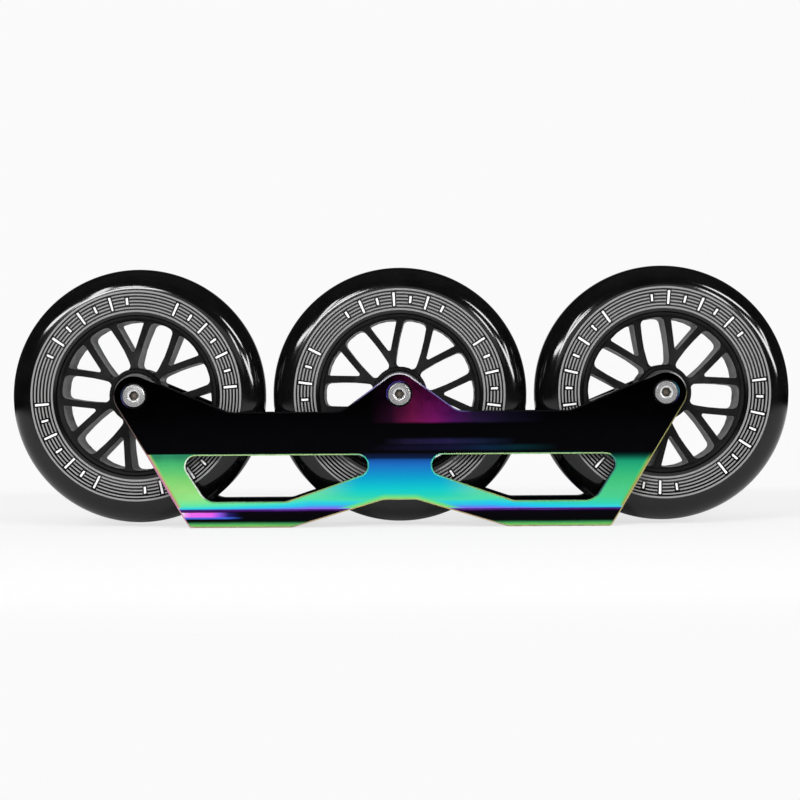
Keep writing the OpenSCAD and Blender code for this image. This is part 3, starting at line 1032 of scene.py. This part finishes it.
@dataclass(frozen=True)
class CastUrethane(Finish):
    """Glossy black urethane with a printed ring of fine lines and plain bars on each side.

    The tyre's own UV map gives the turn about the axle in U, and the radius in millimetres in V.
    """

    CHART = "turn_and_radius"
    name: str = "cast_urethane"
    level: int = 8
    cloud_mm: float = 11.0
    cloud_spread: int = 3
    specular: float = 0.4
    gloss: Span = (0.085, 0.105)
    gloss_mm: float = 60.0
    ink_roughness: float = 0.2
    print_level: int = 128
    bar_level: int = 226
    inner_line_mm: float = 41.1
    outer_line_mm: float = 50.6
    line_gaps: int = 6
    line_half_mm: float = 0.26
    border_half_mm: float = 0.36
    line_soft_mm: float = 0.16
    ring_soft_mm: float = 0.01
    bar_pitches: int = 36
    bars_on: int = 7
    bars_off: int = 2
    bar_half: float = 0.055
    bar_margin: float = 0.085
    bar_margin_mm: float = 0.7
    bar_soft: float = 0.014
    bar_inner_mm: float = 42.7
    bar_outer_mm: float = 49.0
    short_bar_cut_mm: float = 1.6

    def lines(self, wiring: Wiring, radius: Socket) -> Socket:
        """Draws the fine lines and the two wider border lines.

        Args:
            wiring: The material's wiring.
            radius: Distance from the axle, in millimetres.

        Returns:
            Their mask.
        """
        pitch = (self.outer_line_mm - self.inner_line_mm) / self.line_gaps
        count = wiring.over(wiring.minus(radius, self.inner_line_mm), pitch)
        near = wiring.times(wiring.math("PINGPONG", count, 0.5), pitch)
        fine = wiring.rise(near, self.line_half_mm + self.line_soft_mm, self.line_half_mm)
        low, high = self.inner_line_mm - pitch / 2, self.outer_line_mm + pitch / 2
        fine = wiring.times(fine, wiring.band(radius, low, high, self.ring_soft_mm))
        half = self.border_half_mm
        for at in (self.inner_line_mm, self.outer_line_mm):
            fine = wiring.larger(fine, wiring.band(radius, at - half, at + half, self.line_soft_mm))
        return fine

    def bars(self, wiring: Wiring, turn: Socket, radius: Socket) -> tuple[Socket, Socket]:
        """Draws the radial bars, long and short by turns, with a pause after each group.

        Args:
            wiring: The material's wiring.
            turn: Turn about the axle, from 0 to 1.
            radius: Distance from the axle, in millimetres.

        Returns:
            The masks of the bars, and of the bars with the bare margin round them.
        """
        count = wiring.times(turn, self.bar_pitches)
        number = wiring.math("FLOOR", count)
        off_middle = wiring.apart(wiring.minus(wiring.math("FRACT", count), 0.5))
        in_group = wiring.math("MODULO", number, self.bars_on + self.bars_off)
        shown = wiring.math("LESS_THAN", in_group, self.bars_on - 0.5)
        cut = wiring.times(wiring.math("MODULO", number, 2.0), self.short_bar_cut_mm)
        reach = wiring.minus((self.bar_outer_mm - self.bar_inner_mm) / 2, cut)
        from_middle = wiring.apart(wiring.minus(radius, (self.bar_inner_mm + self.bar_outer_mm) / 2))
        past_end = wiring.minus(from_middle, reach)
        masks = []
        for half, past in ((self.bar_half, 0.0), (self.bar_half + self.bar_margin, self.bar_margin_mm)):
            across = wiring.rise(off_middle, half + self.bar_soft, half)
            along = wiring.rise(past_end, past + self.line_soft_mm, past)
            masks.append(wiring.times(across, along, shown))
        return masks[0], masks[1]

    def wire(self, wiring: Wiring, shader: bpy.types.Node) -> None:
        """Black urethane under the print.

        Args:
            wiring: The material's wiring.
            shader: Its shader.
        """
        chart = wiring.node("ShaderNodeUVMap", uv_map=self.CHART).outputs["UV"]
        turn, radius, _ = wiring.node("ShaderNodeSeparateXYZ", {0: chart}).outputs
        bar, bare = self.bars(wiring, turn, radius)
        line = wiring.times(self.lines(wiring, radius), wiring.minus(1.0, bare))
        cloud = Grain.value(wiring, self.cloud_mm, 0.0, 1.0)
        dark, light = grey(self.level - self.cloud_spread), grey(self.level + self.cloud_spread)
        black = wiring.mix(cloud, dark, light)
        printed = wiring.mix(line, black, grey(self.print_level))
        wiring.feed(shader.inputs["Base Color"], wiring.mix(bar, printed, grey(self.bar_level)))
        ink = wiring.times(wiring.larger(line, bar), self.ink_roughness)
        gloss = Grain.value(wiring, self.gloss_mm, *self.gloss)
        wiring.feed(shader.inputs["Roughness"], wiring.plus(gloss, ink))
        shader.inputs["Specular IOR Level"].default_value = self.specular


class Bench:
    """Modelling steps that several pieces share."""

    MERGE_MM = 0.001
    FLAT_ANGLE = 0.3
    ROUND_ANGLE = 30.0
    ROUND_SEGMENTS = 2
    # A face whose normal has less Y than this lies across the thickness of a wall.
    EDGE_ON = 0.5

    @staticmethod
    def pick(piece: bpy.types.Object) -> None:
        """Makes a piece the only selected and active one.

        Args:
            piece: The piece.
        """
        bpy.ops.object.select_all(action="DESELECT")
        piece.select_set(True)
        bpy.context.view_layer.objects.active = piece

    @staticmethod
    def copy_of_node(node: str, name: str) -> bpy.types.Object:
        """Copies a CAD node's mesh into a new piece and merges its loose triangles.

        Args:
            node: Name of the CAD node.
            name: Name of the piece.

        Returns:
            The piece, with flat regions joined into single faces.
        """
        piece = bpy.data.objects.new(name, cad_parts[node].data.copy())
        piece.data.name = name
        bpy.context.scene.collection.objects.link(piece)
        Bench.pick(piece)
        bpy.ops.object.mode_set(mode="EDIT")
        bpy.ops.mesh.select_all(action="SELECT")
        bpy.ops.mesh.remove_doubles(threshold=Bench.MERGE_MM * MM)
        bpy.ops.mesh.dissolve_limited(angle_limit=math.radians(Bench.FLAT_ANGLE))
        bpy.ops.object.mode_set(mode="OBJECT")
        piece.data.materials.clear()
        return piece

    @staticmethod
    def bevel(
        piece: bpy.types.Object, width_mm: float, segments: int, angle: float, edge_slot: int = -1
    ) -> None:
        """Bevels a piece's sharp edges.

        Args:
            piece: The piece.
            width_mm: Width of the bevel.
            segments: Number of faces across it.
            angle: Smallest angle of an edge that is bevelled.
            edge_slot: Material slot of the new faces, or -1 for that of their neighbours.
        """
        Bench.pick(piece)
        bevel = piece.modifiers.new("bevel", "BEVEL")
        bevel.width = width_mm * MM
        bevel.segments = segments
        bevel.limit_method = "ANGLE"
        bevel.angle_limit = math.radians(angle)
        bevel.use_clamp_overlap = False
        bevel.harden_normals = edge_slot < 0
        bevel.miter_outer = "MITER_ARC"
        bevel.material = edge_slot
        bpy.ops.object.modifier_apply(modifier=bevel.name)

    @staticmethod
    def smooth(piece: bpy.types.Object, angle: float) -> None:
        """Shades a piece smooth, apart from edges sharper than an angle."""
        Bench.pick(piece)
        bpy.ops.object.shade_smooth_by_angle(angle=math.radians(angle), keep_sharp_edges=True)

    @staticmethod
    def rounded_copy(node: str, name: str, round_mm: float) -> bpy.types.Object:
        """Copies a CAD node into a new piece with rounded edges.

        Args:
            node: Name of the CAD node.
            name: Name of the piece.
            round_mm: Width of the rounding.

        Returns:
            The piece.
        """
        piece = Bench.copy_of_node(node, name)
        Bench.smooth(piece, Bench.ROUND_ANGLE)
        Bench.bevel(piece, round_mm, Bench.ROUND_SEGMENTS, Bench.ROUND_ANGLE)
        return piece

    @staticmethod
    def turn(name: str, section: Sequence[Span], steps: int) -> bpy.types.Object:
        """Turns a closed section about the Y axis, by extruding a circle from point to point.

        Args:
            name: Name of the piece.
            section: Points as radius and Y, in millimetres.
            steps: Number of points round the axis.

        Returns:
            The piece, about the origin.
        """
        bpy.ops.object.select_all(action="DESELECT")
        radius, y = section[0]
        bpy.ops.mesh.primitive_circle_add(
            vertices=steps,
            radius=radius * MM,
            fill_type="NOTHING",
            location=(0, y * MM, 0),
            rotation=(math.pi / 2, 0, 0),
        )
        piece = bpy.context.object
        piece.name = piece.data.name = name
        bpy.ops.object.transform_apply(location=True, rotation=True, scale=True)
        bpy.ops.object.mode_set(mode="EDIT")
        bpy.ops.mesh.select_all(action="SELECT")
        for next_radius, next_y in [*section[1:], section[0]]:
            step = (0, (next_y - y) * MM, 0)
            bpy.ops.mesh.extrude_region_move(TRANSFORM_OT_translate={"value": step})
            scale = next_radius / radius
            bpy.ops.transform.resize(value=(scale, 1, scale), center_override=(0, next_y * MM, 0))
            radius, y = next_radius, next_y
        bpy.ops.mesh.select_all(action="SELECT")
        bpy.ops.mesh.remove_doubles(threshold=Bench.MERGE_MM * MM)
        bpy.ops.mesh.normals_make_consistent(inside=False)
        bpy.ops.object.mode_set(mode="OBJECT")
        return piece

    @staticmethod
    def paint(piece: bpy.types.Object, *finishes: Finish) -> None:
        """Gives a piece a material slot for each finish."""
        for finish in finishes:
            piece.data.materials.append(finish.material())

    @staticmethod
    def mount(piece: bpy.types.Object, body: str, slot: Slot, node: str) -> None:
        """Puts a finished piece in place of a CAD node.

        Args:
            piece: The piece.
            body: Body that it moves with.
            slot: Material slot of the record; not used.
            node: CAD node that it stands for.
        """
        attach(piece, body)
        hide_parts(node)
        LOG.info("%s: %d faces, on %s", piece.name, len(piece.data.polygons), body)


@dataclass(frozen=True)
class FrameBody:
    """The machined channel, with chamfered edges."""

    NODE = "frame_body"
    chamfer_mm: float = 0.6
    sharp_angle: float = 35.0
    smooth_angle: float = 24.0
    crease_mm: float = CREASE_MM
    wall_half_mm: float = 17.2
    tolerance_mm: float = 0.02
    reveal_low_mm: float = 12.0
    reveal_high_mm: float = 34.6
    reveal_end_mm: float = 107.0
    reveal_in_mm: float = 13.4

    def on_crease(self, point: Vector) -> bool:
        """Whether a point lies on the crease between slope and wall."""
        off_height, off_side = point.z / MM - self.crease_mm, abs(point.y) / MM - self.wall_half_mm
        return max(abs(off_height), abs(off_side)) < self.tolerance_mm

    def mark_crease(self, piece: bpy.types.Object) -> None:
        """Keeps the crease sharp under smooth shading.

        Args:
            piece: The channel.
        """
        for edge in piece.data.edges:
            if all(self.on_crease(piece.data.vertices[i].co) for i in edge.vertices):
                edge.use_edge_sharp = True

    def mark_reveals(self, piece: bpy.types.Object) -> None:
        """Gives the windows' inner faces and the walls' upper edges their own material slot.

        Args:
            piece: The channel.
        """
        for face in piece.data.polygons:
            x, y, z = (abs(value) / MM for value in face.center)
            in_window = self.reveal_low_mm < z < self.reveal_high_mm and x < self.reveal_end_mm
            in_wall = y > self.reveal_in_mm and abs(face.normal.y) < Bench.EDGE_ON
            if in_wall and (in_window or z > self.crease_mm):
                face.material_index = FrameFace.REVEAL

    def build(self) -> None:
        """Chamfers a copy of the CAD body and dresses it in the oxide film."""
        piece = Bench.copy_of_node(self.NODE, "frame_channel")
        self.mark_crease(piece)
        finishes = {
            FrameFace.OUTER: OxideFilm(),
            FrameFace.CHAMFER: OxideEdge(),
            FrameFace.REVEAL: OxideReveal(),
        }
        Bench.paint(piece, *(finishes[face] for face in FrameFace))
        self.mark_reveals(piece)
        Bench.bevel(piece, self.chamfer_mm, 1, self.sharp_angle, FrameFace.CHAMFER)
        Bench.smooth(piece, self.smooth_angle)
        Bench.mount(piece, "frame", Slot.FRAME, self.NODE)


@dataclass(frozen=True)
class Hub:
    """The moulded core of a wheel, with its edges rounded."""

    place: Place
    round_mm: float = 0.35
    boss_r_mm: float = 13.3
    rim_r_mm: float = 36.9

    def mark_gap_walls(self, piece: bpy.types.Object) -> None:
        """Writes a face attribute that is 1 on the walls of the gaps between the spokes, which the core's
        finish paints pale as painted light.

        Args:
            piece: The core.
        """
        axle = self.place.axle()
        flags = piece.data.attributes.new(CoreNylon.GAP_WALL, "FLOAT", "FACE")
        for face, flag in zip(piece.data.polygons, flags.data):
            radius = math.hypot(face.center.x - axle.x, face.center.z - axle.z) / MM
            in_gaps = self.boss_r_mm < radius < self.rim_r_mm
            flag.value = float(in_gaps and abs(face.normal.y) < Bench.EDGE_ON)

    def build(self) -> None:
        """Rounds a copy of the CAD hub."""
        node = self.place.name_of("hub")
        piece = Bench.rounded_copy(node, self.place.name_of("core"), self.round_mm)
        self.mark_gap_walls(piece)
        Bench.paint(piece, CoreNylon())
        Bench.mount(piece, self.place.name_of("wheel"), Slot.CORE, node)


@dataclass(frozen=True)
class AxleBolt:
    """The bolt that a wheel turns on, with its edges rounded."""

    place: Place
    round_mm: float = 0.15

    def build(self) -> None:
        """Rounds a copy of the CAD bolt."""
        node = self.place.name_of("axle_bolt")
        piece = Bench.rounded_copy(node, self.place.name_of("axle"), self.round_mm)
        Bench.paint(piece, BoltSteel())
        Bench.mount(piece, "frame", Slot.BOLT, node)


@dataclass(frozen=True)
class Tyre:
    """The cast tyres, turned once from their section and copied to each axle."""

    PRINT_TURNS = {Place.REAR: 0.0, Place.MIDDLE: 32.0, Place.FRONT: 58.0}
    rib_r_mm: float = 45.0
    rib_half_mm: float = 5.5
    bore_r_mm: float = 38.8
    lip_half_mm: float = 10.3
    lip_round_mm: float = 0.4
    shoulder_r_mm: float = 50.5
    tread_steps: int = 20
    turn_steps: int = 160
    smooth_angle: float = 40.0

    def section(self) -> list[Span]:
        """Draws the tyre's section, from the rib's groove on one side round to the other.

        Returns:
            Points as radius and Y, in millimetres.
        """
        low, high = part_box(Place.REAR.name_of("tyre"))
        half_w = (high[1] - low[1]) / 2 / MM
        tread_mm = (high[2] - low[2]) / 2 / MM - self.shoulder_r_mm
        half = [
            (self.rib_r_mm, self.rib_half_mm),
            (self.bore_r_mm, self.rib_half_mm),
            (self.bore_r_mm, self.lip_half_mm - self.lip_round_mm),
            (self.bore_r_mm + self.lip_round_mm, self.lip_half_mm + self.lip_round_mm / 4),
        ]
        for i in range(self.tread_steps + 1):
            angle = math.pi / 2 * i / self.tread_steps
            half.append((self.shoulder_r_mm + tread_mm * math.sin(angle), half_w * math.cos(angle)))
        return half + [(radius, -y) for radius, y in reversed(half[:-1])]

    def chart(self, piece: bpy.types.Object) -> None:
        """Writes the turn about the axle and the radius in millimetres into the piece's UV map.

        Args:
            piece: The tyre, about the origin.
        """
        mesh = piece.data
        chart = mesh.uv_layers.new(name=CastUrethane.CHART)
        for face in mesh.polygons:
            middle = math.atan2(face.center.z, face.center.x) / math.tau + 0.5
            for corner in face.loop_indices:
                point = mesh.vertices[mesh.loops[corner].vertex_index].co
                turn = math.atan2(point.z, point.x) / math.tau + 0.5
                turn += round(middle - turn)
                chart.data[corner].uv = (turn, math.hypot(point.x, point.z) / MM)

    def turned(self) -> bpy.types.Mesh:
        """Turns the tyre's section, and gives it its chart and finish.

        Returns:
            The tyre's mesh, about the origin.
        """
        piece = Bench.turn("tyre_shape", self.section(), self.turn_steps)
        self.chart(piece)
        Bench.smooth(piece, self.smooth_angle)
        Bench.paint(piece, CastUrethane())
        shape = piece.data
        bpy.data.objects.remove(piece)
        return shape

    def copy_to(self, place: Place, shape: bpy.types.Mesh) -> None:
        """Puts a copy on a wheel's axle, with the print turned its own way.

        Args:
            place: Place of the wheel.
            shape: The tyre's mesh about the origin.
        """
        piece = bpy.data.objects.new(place.name_of("tread"), shape.copy())
        piece.data.name = piece.name
        bpy.context.scene.collection.objects.link(piece)
        turn = Matrix.Rotation(math.radians(self.PRINT_TURNS[place]), 4, "Y")
        piece.data.transform(Matrix.Translation(place.axle()) @ turn)
        Bench.mount(piece, place.name_of("wheel"), Slot.TYRE, place.name_of("tyre"))

    def build(self) -> None:
        """Turns the tyre and copies it to the three axles."""
        shape = self.turned()
        for place in Place:
            self.copy_to(place, shape)
        bpy.data.meshes.remove(shape)


@dataclass(frozen=True)
class Wheel:
    """A wheel with its bolt, bearings and spacer."""

    place: Place

    def inner_finishes(self) -> dict[str, Finish]:
        """Chooses the finishes of the CAD nodes that show as they are.

        Returns:
            The finishes by node.
        """
        by_piece = {
            "inner_ring": SatinSteel("ground_steel", 206, (0.1, 0.18), 1.2),
            # Painted shade: the bearings' outer rings are dull steel set to a dark level.
            "outer_ring": SatinSteel("dull_steel", 96, (0.3, 0.4), 1.2),
            "balls": SatinSteel("ball_steel", 220, (0.05, 0.09), 1.5),
            "ball_cage": MouldedNylon("cage_nylon", 150, (0.4, 0.55)),
            "shields": SealRubber(),
        }
        made = {self.place.name_of("bearing_spacer"): SatinSteel("turned_alloy", 200, (0.25, 0.4), 0.8)}
        for side in Side:
            for piece, finish in by_piece.items():
                made[self.place.name_of(f"{side.value}_{piece}")] = finish
        return made

    def build(self) -> None:
        """Builds the wheel's core and bolt, and dresses its bearings."""
        Hub(self.place).build()
        AxleBolt(self.place).build()
        for node, finish in self.inner_finishes().items():
            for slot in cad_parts[node].material_slots:
                slot.material = finish.material()
            LOG.info("%s: CAD node in %s", node, finish.name)


@dataclass(frozen=True)
class PhotoCamera:
    """The photo's camera, fitted to the axle heads, wheels and outline."""

    place_mm: tuple[float, float, float] = (10.27, -740.9, 59.57)
    yaw: float = 0.791
    pitch: float = 0.081
    roll: float = 0.393
    focal_px: float = 1511.95
    picture_px: float = 800.0
    sensor_mm: float = 36.0
    clip_start: float = 0.01

    def build(self) -> None:
        """Adds the camera and makes it the scene's."""
        bpy.ops.object.camera_add()
        camera = bpy.context.object
        camera.name = "photo_camera"
        camera.data.sensor_fit = "HORIZONTAL"
        camera.data.sensor_width = self.sensor_mm
        camera.data.lens = self.focal_px / self.picture_px * self.sensor_mm
        camera.data.clip_start = self.clip_start
        turn = (
            Matrix.Rotation(math.radians(self.yaw), 4, "Z")
            @ Matrix.Rotation(math.radians(90 + self.pitch), 4, "X")
            @ Matrix.Rotation(math.radians(-self.roll), 4, "Z")
        )
        camera.matrix_world = Matrix.Translation(Vector(self.place_mm) * MM) @ turn
        bpy.context.scene.camera = camera


@dataclass(frozen=True)
class Tube:
    """A long lamp between two directions, which draws a streak on the tyres' shoulders.

    A direction is where the streak's end lies on a tyre: its turn about the axle, and how far the tyre's
    surface leans there from facing the camera. The power is in watts.
    """

    name: str
    start: Span
    end: Span
    width: float
    power: float
    rays: Rays = Rays.MIRRORED
    distance: float = 1.6

    def end_point(self, streak_end: Span, target: Vector) -> Vector:
        """Finds the lamp's end whose reflection lies at a streak's end.

        Args:
            streak_end: Direction of the streak's end.
            target: Point that the lamp faces.

        Returns:
            Its place.
        """
        turn, lean = map(math.radians, streak_end)
        side = math.sin(2 * lean)
        away = Vector((side * math.cos(turn), -math.cos(2 * lean), side * math.sin(turn)))
        return target + away * self.distance

    def build(self, target: Vector) -> None:
        """Adds the lamp.

        Args:
            target: Point that the lamp faces.
        """
        first, last = self.end_point(self.start, target), self.end_point(self.end, target)
        middle = (first + last) / 2
        along = (last - first).normalized()
        back = middle - target
        back = (back - along * back.dot(along)).normalized()
        bpy.ops.object.light_add(type="AREA")
        lamp = bpy.context.object
        lamp.name = self.name
        lamp.data.shape = "ELLIPSE"
        lamp.data.size = (last - first).length
        lamp.data.size_y = self.width
        lamp.data.energy = self.power
        lamp.visible_glossy = self.rays is Rays.MIRRORED
        lamp.visible_diffuse = self.rays is Rays.SOFT
        turn = Matrix((along, back.cross(along), back)).transposed().to_4x4()
        lamp.matrix_world = Matrix.Translation(middle) @ turn


@dataclass(frozen=True)
class Studio:
    """White background, pale floor and soft light.

    The spans of the room are of the direction that a reflection looks in, from -1 to 1 along each axis.
    """

    LAMPS = (
        Tube("left_a", (153.0, 28.0), (143.0, 17.0), 0.16, 6.8),
        Tube("left_b", (149.0, 15.0), (136.0, 14.5), 0.2, 2.6),
        Tube("left_c", (139.0, 16.0), (124.0, 24.0), 0.13, 4.4),
        Tube("left_d", (137.0, 15.0), (108.0, 13.5), 0.16, 5.0),
        Tube("left_e", (127.0, 18.0), (112.0, 17.0), 0.12, 2.2),
        Tube("right_f", (55.0, 27.0), (32.0, 31.0), 0.18, 7.4),
        Tube("right_g", (49.0, 18.0), (33.0, 16.0), 0.16, 3.0),
        Tube("right_h", (31.0, 20.0), (8.0, 31.0), 0.18, 9.0),
        Tube("right_i", (26.0, 33.0), (17.0, 28.0), 0.12, 2.8),
        Tube("left_soft", (146.0, 20.0), (116.0, 18.0), 0.3, 12.8, Rays.SOFT),
        Tube("right_soft", (46.0, 22.0), (16.0, 28.0), 0.3, 9.0, Rays.SOFT),
        Tube("top_soft", (140.0, 34.0), (40.0, 34.0), 0.7, 5.0, Rays.SOFT),
    )
    lamp_target: tuple[float, float, float] = (0.0, 0.0, 0.06)
    background: int = 250
    ambient: float = 0.55
    room_dark: float = 0.02
    room_front: Span = (0.96, 0.9)
    top_level: float = 0.045
    top_height: Span = (0.75, 0.95)
    strip_level: float = 1.0
    strip_height: Span = (0.15, 0.30)
    strip_soft: float = 0.05
    strip_side: Span = (0.5, 0.35)
    strip_front: Span = (0.0, -0.3)
    floor_size: float = 9.0
    floor_drop: float = 0.0001
    floor_level: int = 234
    floor_glow: float = 0.72
    floor_fade_mm: Span = (100.0, 360.0)
    floor_dark_mm: Span = (500.0, 1000.0)
    floor_squeeze: float = 0.45

    def world(self) -> None:
        """White behind the object, and for reflections a dark room with a bright strip above the camera."""
        world = bpy.data.worlds.new("studio")
        bpy.context.scene.world = world
        wiring = Wiring.of(world)
        path = wiring.node("ShaderNodeLightPath").outputs
        towards = wiring.node("ShaderNodeTexCoord").outputs["Generated"]
        x, y, z = wiring.node("ShaderNodeSeparateXYZ", {0: towards}).outputs
        strip = wiring.times(
            wiring.band(z, *self.strip_height, self.strip_soft),
            wiring.rise(wiring.apart(x), *self.strip_side),
            wiring.rise(y, *self.strip_front),
        )
        room = wiring.mix(strip, grey(0), flat(self.strip_level))
        room = wiring.mix(wiring.rise(z, *self.top_height), room, flat(self.top_level))
        room = wiring.mix(1.0, room, flat(self.room_dark), Blend.ADD)
        mirrored = wiring.mix(wiring.rise(y, *self.room_front), grey(self.background), room)
        light = wiring.mix(path["Is Glossy Ray"], flat(self.ambient), mirrored)
        white = wiring.larger(path["Is Camera Ray"], path["Is Transmission Ray"])
        shown = wiring.mix(white, light, grey(self.background))
        back = wiring.node("ShaderNodeBackground", {"Color": shown, "Strength": 1.0})
        wiring.node("ShaderNodeOutputWorld", {"Surface": back.outputs[0]})

    def floor_material(self) -> bpy.types.Material:
        """Builds a pale floor, which keeps the object's shadow and runs into the background further out.

        Returns:
            The material.
        """
        made = bpy.data.materials.new("pale_floor")
        wiring = Wiring.of(made)
        path = wiring.node("ShaderNodeLightPath").outputs
        x, y, _ = wiring.place_mm()
        far = wiring.rise(wiring.length(wiring.times(x, self.floor_squeeze), y), *self.floor_fade_mm)
        seen = wiring.larger(path["Is Camera Ray"], path["Is Glossy Ray"])
        least = wiring.times(path["Is Camera Ray"], self.floor_glow)
        aside = wiring.rise(wiring.apart(x), *self.floor_dark_mm)
        lit = wiring.minus(1.0, wiring.times(aside, path["Is Glossy Ray"]))
        matt = wiring.node("ShaderNodeBsdfDiffuse", {"Color": grey(self.floor_level)})
        glow = wiring.node("ShaderNodeEmission", {"Color": grey(self.background), "Strength": lit})
        share = wiring.larger(wiring.times(far, seen), least)
        both = wiring.node("ShaderNodeMixShader", {0: share, 1: matt.outputs[0], 2: glow.outputs[0]})
        wiring.node("ShaderNodeOutputMaterial", {"Surface": both.outputs[0]})
        return made

    def build(self) -> None:
        """Adds the world, the floor and the lamps."""
        self.world()
        bpy.ops.object.select_all(action="DESELECT")
        bpy.ops.mesh.primitive_plane_add(size=self.floor_size, location=(0, 0, -self.floor_drop))
        floor = bpy.context.object
        floor.name = "floor"
        floor.data.materials.append(self.floor_material())
        for lamp in self.LAMPS:
            lamp.build(Vector(self.lamp_target))


def main() -> None:
    """Builds the camera, the object and the studio, in that order."""
    logging.basicConfig(level=logging.INFO, format="%(name)s: %(message)s")
    bpy.context.scene.view_settings.view_transform = "Standard"
    PhotoCamera().build()
    FrameBody().build()
    Tyre().build()
    for place in Place:
        Wheel(place).build()
    Studio().build()


if __name__ == "__main__":
    main()
